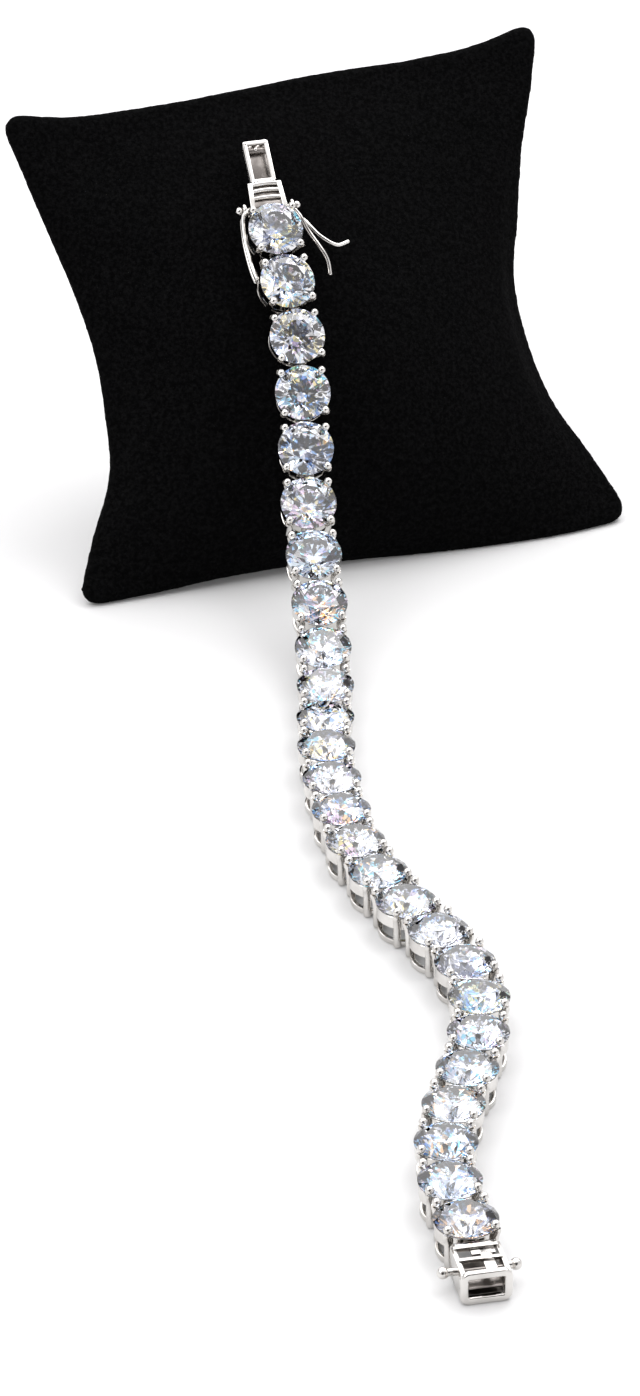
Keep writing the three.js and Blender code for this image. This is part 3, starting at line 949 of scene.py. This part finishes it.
# Safety latches: an eye on the post and two open legs, as shares of the length: along, outwards, up
latch = {
    "length": 9.0,
    "wire": 0.25,
    "eyeGap": 0.1,  # round the post
    "eyeOut": 2.9,
    "eyeSides": 28,
    "legOut": 2.8,
    "legSteps": 6,
    "sides": 14,
    "leftLegs": [
        [
            (0.045, 0.0, 0.055), (0.12, 0.06, 0.045), (0.3, 0.085, 0.04), (0.48, 0.095, 0.04),
            (0.68, 0.09, 0.045), (0.86, 0.075, 0.05), (0.99, 0.05, 0.055),
        ],
        [
            (0.045, 0.0, -0.055), (0.12, 0.06, -0.045), (0.3, 0.085, -0.04), (0.48, 0.095, -0.04),
            (0.68, 0.09, -0.045), (0.86, 0.075, -0.05), (0.99, 0.05, -0.055),
        ],
    ],
    "rightLegs": [
        [
            (0.05, 0.0, 0.05), (0.12, 0.055, 0.035), (0.2, 0.094, 0.025), (0.317, 0.135, 0.0),
            (0.415, 0.179, -0.02), (0.646, 0.292, -0.05), (0.795, 0.348, -0.085), (0.963, 0.354, -0.13),
        ],
        [
            (0.06, 0.0, -0.07), (0.13, 0.08, -0.06), (0.22, 0.155, -0.05), (0.322, 0.217, -0.045),
            (0.428, 0.292, -0.055), (0.504, 0.373, -0.07), (0.563, 0.46, -0.09), (0.588, 0.553, -0.11),
            (0.546, 0.683, -0.13),
        ],
    ],
}


def makeLatch(name, hand, legs, body):
    centre = Vector((-tongue["postBack"], hand * latch["eyeOut"], tongue["postHeight"]))
    eyeRadius = tongue["postWire"] + latch["eyeGap"] + latch["wire"]
    eyeOutline = []
    for k in range(latch["eyeSides"]):
        angle = 2 * math.pi * k / latch["eyeSides"]
        outward = Vector((math.cos(angle), 0, math.sin(angle)))
        eyeOutline.append((centre + outward * eyeRadius, outward))
    section = [(place.x, place.y) for place, outward in circleOutline(latch["wire"], latch["sides"])]
    shells = [hoop(eyeOutline, section, acrossWay)]
    legStart = Vector((centre.x, hand * latch["legOut"], centre.z))
    for leg in legs:
        chosen = [legStart + Vector((along, hand * out, up)) * latch["length"] for along, out, up in leg]
        shells.append(roundEnded(smoothPath(chosen, latch["legSteps"]), latch["wire"], latch["sides"]))
    shell = moved(joinShells(shells), links[0])
    makePiece(name + "_polished", shell, silver, body, [name], sharpAngle=60)


makeLatch("safety_latch_left", -1, latch["leftLegs"], leftBody)
makeLatch("safety_latch_right", 1, latch["rightLegs"], rightBody)
print("latches made")


# Pillow: a square velvet cushion, leaning back, slumped where it stands
pillow = {
    "width": 67.0,
    "height": 58.5,  # along the seam
    # edges in equal steps: shares of the half width from the foot up, and of the height from left to right
    "leftEdge": [1.04, 0.957, 0.853, 0.829, 0.829, 0.865, 0.918, 0.972, 1.018],
    "rightEdge": [1.032, 0.939, 0.823, 0.768, 0.76, 0.817, 0.874, 0.954, 1.012],
    "topEdge": [1.008, 0.985, 0.984, 0.989, 0.998, 1.005, 1.006, 1.018, 1.05],
    # the foot between the ears, from left to right in mm: lifted off the floor, and pushed forward
    "footLift": [0.0, 0.2, 0.8, 0.9, 0.3, 0.0, 0.0, 0.0, 0.0],
    "footPush": [0.0, 0.0, 0.0, 0.0, 0.0, 0.6, 1.3, 1.3, 0.2],
    "footReach": 12.0,
    "yaw": 18.7,  # degrees
    "lean": 33.0,
    "seamFront": 11.0,
    "frontPuff": 9.3,
    "backPuff": 18.0,
    "puffAcross": 0.6,  # powers of the puff's two waves: the smaller, the fuller
    "puffUp": 0.85,
    "lowBelly": 0.75,
    "wave": 0.2,
    "waveScale": 0.09,
    "waveSeeds": (3.1, 8.7),  # front and back
    "fold": 0.5,
    "foldScale": ((0.035, 0.02), (0.16, -0.06)),
    "foldSeed": 5.3,
    "fadeSteep": 3,
    "edgeRound": 1.1,
    "earRound": 2.5,
    "columns": 150,
    "rows": 140,
    "remesh": 0.45,
    "smoothing": 8,
    "napRelief": 0.05,
    "napScale": 1.6,
}


# A smooth value between the equal steps of a table
def stepped(table, share):
    place = share * (len(table) - 1)
    step = min(int(place), len(table) - 2)
    before, here, after, beyond = [table[min(max(step + k, 0), len(table) - 1)] for k in (-1, 0, 1, 2)]
    t = place - step
    return here + 0.5 * t * (after - before + t * (2 * before - 5 * here + 4 * after - beyond
                                                  + t * (3 * (here - after) + beyond - before)))


# The sheet's corner cells drawn in to quarter circles
# The last value is how far in from the corner's edge a place is, and 1 outside the cells
def roundedCorner(across, up):
    sideShare = pillow["earRound"] / (pillow["width"] / 2)
    upShare = pillow["earRound"] / pillow["height"] * 2
    fromMiddle = abs(2 * up - 1)
    sideways = (abs(across) - 1 + sideShare) / sideShare
    upright = (fromMiddle - 1 + upShare) / upShare
    if sideways <= 0 or upright <= 0:
        return across, up, 1.0
    shrink = max(sideways, upright) / math.hypot(sideways, upright)
    across = math.copysign(1 - sideShare + sideShare * sideways * shrink, across)
    fromMiddle = 1 - upShare + upShare * upright * shrink
    return across, (1 + math.copysign(fromMiddle, up - 0.5)) / 2, 1 - max(sideways, upright)


def pillowPoint(across, up, front):
    p = pillow
    across, up, cornerShare = roundedCorner(across, up)
    reach = p["width"] / 2 * stepped(p["leftEdge"] if across < 0 else p["rightEdge"], up)
    a = across * reach
    top = p["height"] * stepped(p["topEdge"], (across + 1) / 2)
    b = up * top
    fullAcross = max(math.cos(math.pi / 2 * across), 0)
    fullUp = max(math.sin(math.pi * up ** p["lowBelly"]), 0)
    puff = p["frontPuff"] if front else p["backPuff"]
    waveSeed = p["waveSeeds"][0 if front else 1]
    rise = fullAcross ** p["puffAcross"] * fullUp ** p["puffUp"] * puff
    # folds run in from the corners and across the waists, and fade towards the seam
    (alongA, alongB), (downB, downA) = p["foldScale"]
    wave = noise.noise(Vector((a * p["waveScale"], b * p["waveScale"], waveSeed)))
    fold = noise.noise(Vector((a * alongA + b * alongB, b * downB + abs(a) * downA, p["foldSeed"])))
    fade = min(1, fullAcross * p["fadeSteep"]) * min(1, fullUp * p["fadeSteep"])
    rise += (p["wave"] * wave + p["fold"] * fold * abs(across)) * fade
    # the sewn edge is round
    inward = max(min(reach - abs(a), b, top - b, cornerShare * p["earRound"]), 0)
    rise *= math.sqrt(inward / p["earRound"])
    turn = 1 - min(inward / p["edgeRound"], 1)
    roll = p["edgeRound"] * math.sqrt(max(1 - turn * turn, 0))
    rise = (max(rise, 0) ** 4 + roll ** 4) ** 0.25  # the greater of the two, smoothly
    rise = rise if front else -rise
    lean = math.radians(p["lean"])
    y = b * math.sin(lean) - rise * math.cos(lean) - p["seamFront"]
    z = b * math.cos(lean) + rise * math.sin(lean)
    nearFoot = max(1 - b / p["footReach"], 0) ** 2
    y -= nearFoot * stepped(p["footPush"], (across + 1) / 2)
    z += nearFoot * stepped(p["footLift"], (across + 1) / 2)
    return Vector((a, y, z))


# Even steps drawn towards both ends, where the edge is rounded
def spaced(share):
    return 0.5 * share + 0.5 * (1 - math.cos(math.pi * share)) / 2


# One closed skin, its edges and ears rounded, standing on the floor
def softened(piece):
    sewn = bmesh.new()
    sewn.from_mesh(piece.data)
    bmesh.ops.remove_doubles(sewn, verts=sewn.verts[:], dist=0.01 * mm)
    bmesh.ops.recalc_face_normals(sewn, faces=sewn.faces[:])
    sewn.to_mesh(piece.data)
    sewn.free()
    remesh = piece.modifiers.new("remesh", "REMESH")
    remesh.mode = "VOXEL"
    remesh.voxel_size = pillow["remesh"] * mm
    smooth = piece.modifiers.new("smooth", "SMOOTH")
    smooth.iterations = pillow["smoothing"]
    skin = bpy.data.meshes.new_from_object(piece.evaluated_get(bpy.context.evaluated_depsgraph_get()))
    piece.modifiers.clear()
    outward = [vert.normal.copy() for vert in skin.vertices]
    for vert, normal in zip(skin.vertices, outward):
        place = vert.co / mm
        vert.co += normal * (pillow["napRelief"] * mm * noise.noise(place * pillow["napScale"]))
        vert.co.z = max(vert.co.z, 0)
    piece.data = skin
    skin.shade_smooth()


def makePillow():
    p = pillow
    turn = Matrix.Rotation(math.radians(p["yaw"]), 4, "Z")
    sheets = []
    for front in (True, False):
        points = []
        for row in range(p["rows"] + 1):
            up = spaced(row / p["rows"])
            for column in range(p["columns"] + 1):
                across = 2 * spaced(column / p["columns"]) - 1
                points.append(pillowPoint(across, up, front))
        faces = gridFaces(p["rows"] + 1, p["columns"] + 1, False, False)
        sheets.append((points, faces))
    shell = moved(joinShells(sheets), turn)
    piece = makePiece(
        "velvet_pillow", shell, pillowMaterial, fixedBody, ["display_pillow"], sharpAngle=180)
    softened(piece)
    print("pillow sewn")


makePillow()


# Studio: pale floor, white dome that is darker in front and brighter above, and soft lamps
studio = {
    "floorColour": (0.615, 0.615, 0.615),
    "floorRoughness": 0.6,
    "floorGloss": 0.2,
    "floorGlow": 0.06,
    "floorSize": 3.0,
    "domeShade": (1.02, 1.01, 1.02),
    "domeDim": (0.24, 0.235, 0.25),
    "patchScale": 2.5,
    "patchDetail": 1.0,
    "patchRoughness": 0.4,
    "patchSpan": (0.36, 0.46),  # of the pattern, from dim to bright
    "openingShade": (0.05, 0.045, 0.045),
    "openingWay": (0.0, -0.9, 0.44),
    "openingReach": (0.87, 0.93),  # cosine from the way, from outside to dark
    "aboveWay": (0.0, 0.45, 0.9),
    "aboveReach": (0.55, 0.9),
    "aboveStrength": (1.0, 2.2),
    "lampTarget": (0.0, -0.06, 0.01),
    "lamps": [  # name, place and size in metres, power in watts
        ("keyLamp", (0.45, 0.25, 0.75), 0.6, 3.6),
        ("fillLamp", (-0.5, -0.3, 0.6), 0.4, 1.6),
        ("topLamp", (-0.1, 0.3, 0.8), 0.8, 2.0),
    ],
}


def makeFloor():
    data = bpy.data.meshes.new("floor")
    half = studio["floorSize"] / 2
    corners = [(x * half, y * half, 0) for x, y in ((-1, -1), (1, -1), (1, 1), (-1, 1))]
    data.from_pydata(corners, [], [(0, 1, 2, 3)])
    floor = bpy.data.objects.new("floor", data)
    bpy.context.scene.collection.objects.link(floor)
    material, tree, output = newMaterial("paleFloor")
    shader = addNode(tree, "ShaderNodeBsdfPrincipled", Roughness=studio["floorRoughness"])
    shader.inputs["Specular IOR Level"].default_value = studio["floorGloss"]
    shader.inputs["Base Color"].default_value = (*studio["floorColour"], 1)
    shader.inputs["Emission Color"].default_value = (1, 1, 1, 1)
    shader.inputs["Emission Strength"].default_value = studio["floorGlow"]
    tree.links.new(shader.outputs["BSDF"], output.inputs["Surface"])
    data.materials.append(material)


def makeLamp(name, place, size, power):
    data = bpy.data.lights.new(name, "AREA")
    data.size = size
    data.energy = power
    lamp = bpy.data.objects.new(name, data)
    lamp.location = place
    aim = Vector(studio["lampTarget"]) - Vector(place)
    lamp.rotation_euler = aim.to_track_quat("-Z", "Y").to_euler()
    bpy.context.scene.collection.objects.link(lamp)


def between(tree, source, span, result=(0.0, 1.0)):
    spread = addNode(tree, "ShaderNodeMapRange", interpolation_type="SMOOTHSTEP")
    spread.inputs["From Min"].default_value, spread.inputs["From Max"].default_value = span
    spread.inputs["To Min"].default_value, spread.inputs["To Max"].default_value = result
    tree.links.new(source, spread.inputs["Value"])
    return spread.outputs["Result"]


# The cosine between a direction and a fixed way
def facing(tree, direction, way):
    product = addNode(tree, "ShaderNodeVectorMath", operation="DOT_PRODUCT")
    tree.links.new(direction, product.inputs[0])
    product.inputs[1].default_value = Vector(way).normalized()
    return product.outputs["Value"]


def blended(tree, share, first, second):
    mix = addNode(tree, "ShaderNodeMix", data_type="RGBA")
    tree.links.new(share, mix.inputs[0])
    for socket, value in ((mix.inputs[6], first), (mix.inputs[7], second)):
        if isinstance(value, tuple):
            socket.default_value = (*value, 1)
        else:
            tree.links.new(value, socket)
    return mix.outputs[2]


def makeDome():
    world = bpy.data.worlds.new("studioDome")
    bpy.context.scene.world = world
    world.use_nodes = True
    tree = world.node_tree
    tree.nodes.clear()
    output = tree.nodes.new("ShaderNodeOutputWorld")
    direction = tree.nodes.new("ShaderNodeTexCoord").outputs["Generated"]
    pattern = addNode(tree, "ShaderNodeTexNoise", Scale=studio["patchScale"], Detail=studio["patchDetail"],
                      Roughness=studio["patchRoughness"])
    tree.links.new(direction, pattern.inputs["Vector"])
    patches = between(tree, pattern.outputs["Fac"], studio["patchSpan"])
    opening = between(tree, facing(tree, direction, studio["openingWay"]), studio["openingReach"])
    above = facing(tree, direction, studio["aboveWay"])
    strength = between(tree, above, studio["aboveReach"], studio["aboveStrength"])
    dome = blended(tree, patches, studio["domeDim"], studio["domeShade"])
    colour = blended(tree, opening, dome, studio["openingShade"])
    back = addNode(tree, "ShaderNodeBackground")
    tree.links.new(colour, back.inputs["Color"])
    tree.links.new(strength, back.inputs["Strength"])
    tree.links.new(back.outputs["Background"], output.inputs["Surface"])


makeFloor()
for name, place, size, power in studio["lamps"]:
    makeLamp(name, place, size, power)
makeDome()
bpy.context.scene.view_settings.view_transform = "Standard"
bpy.context.scene.view_settings.look = "None"
print("studio lit")
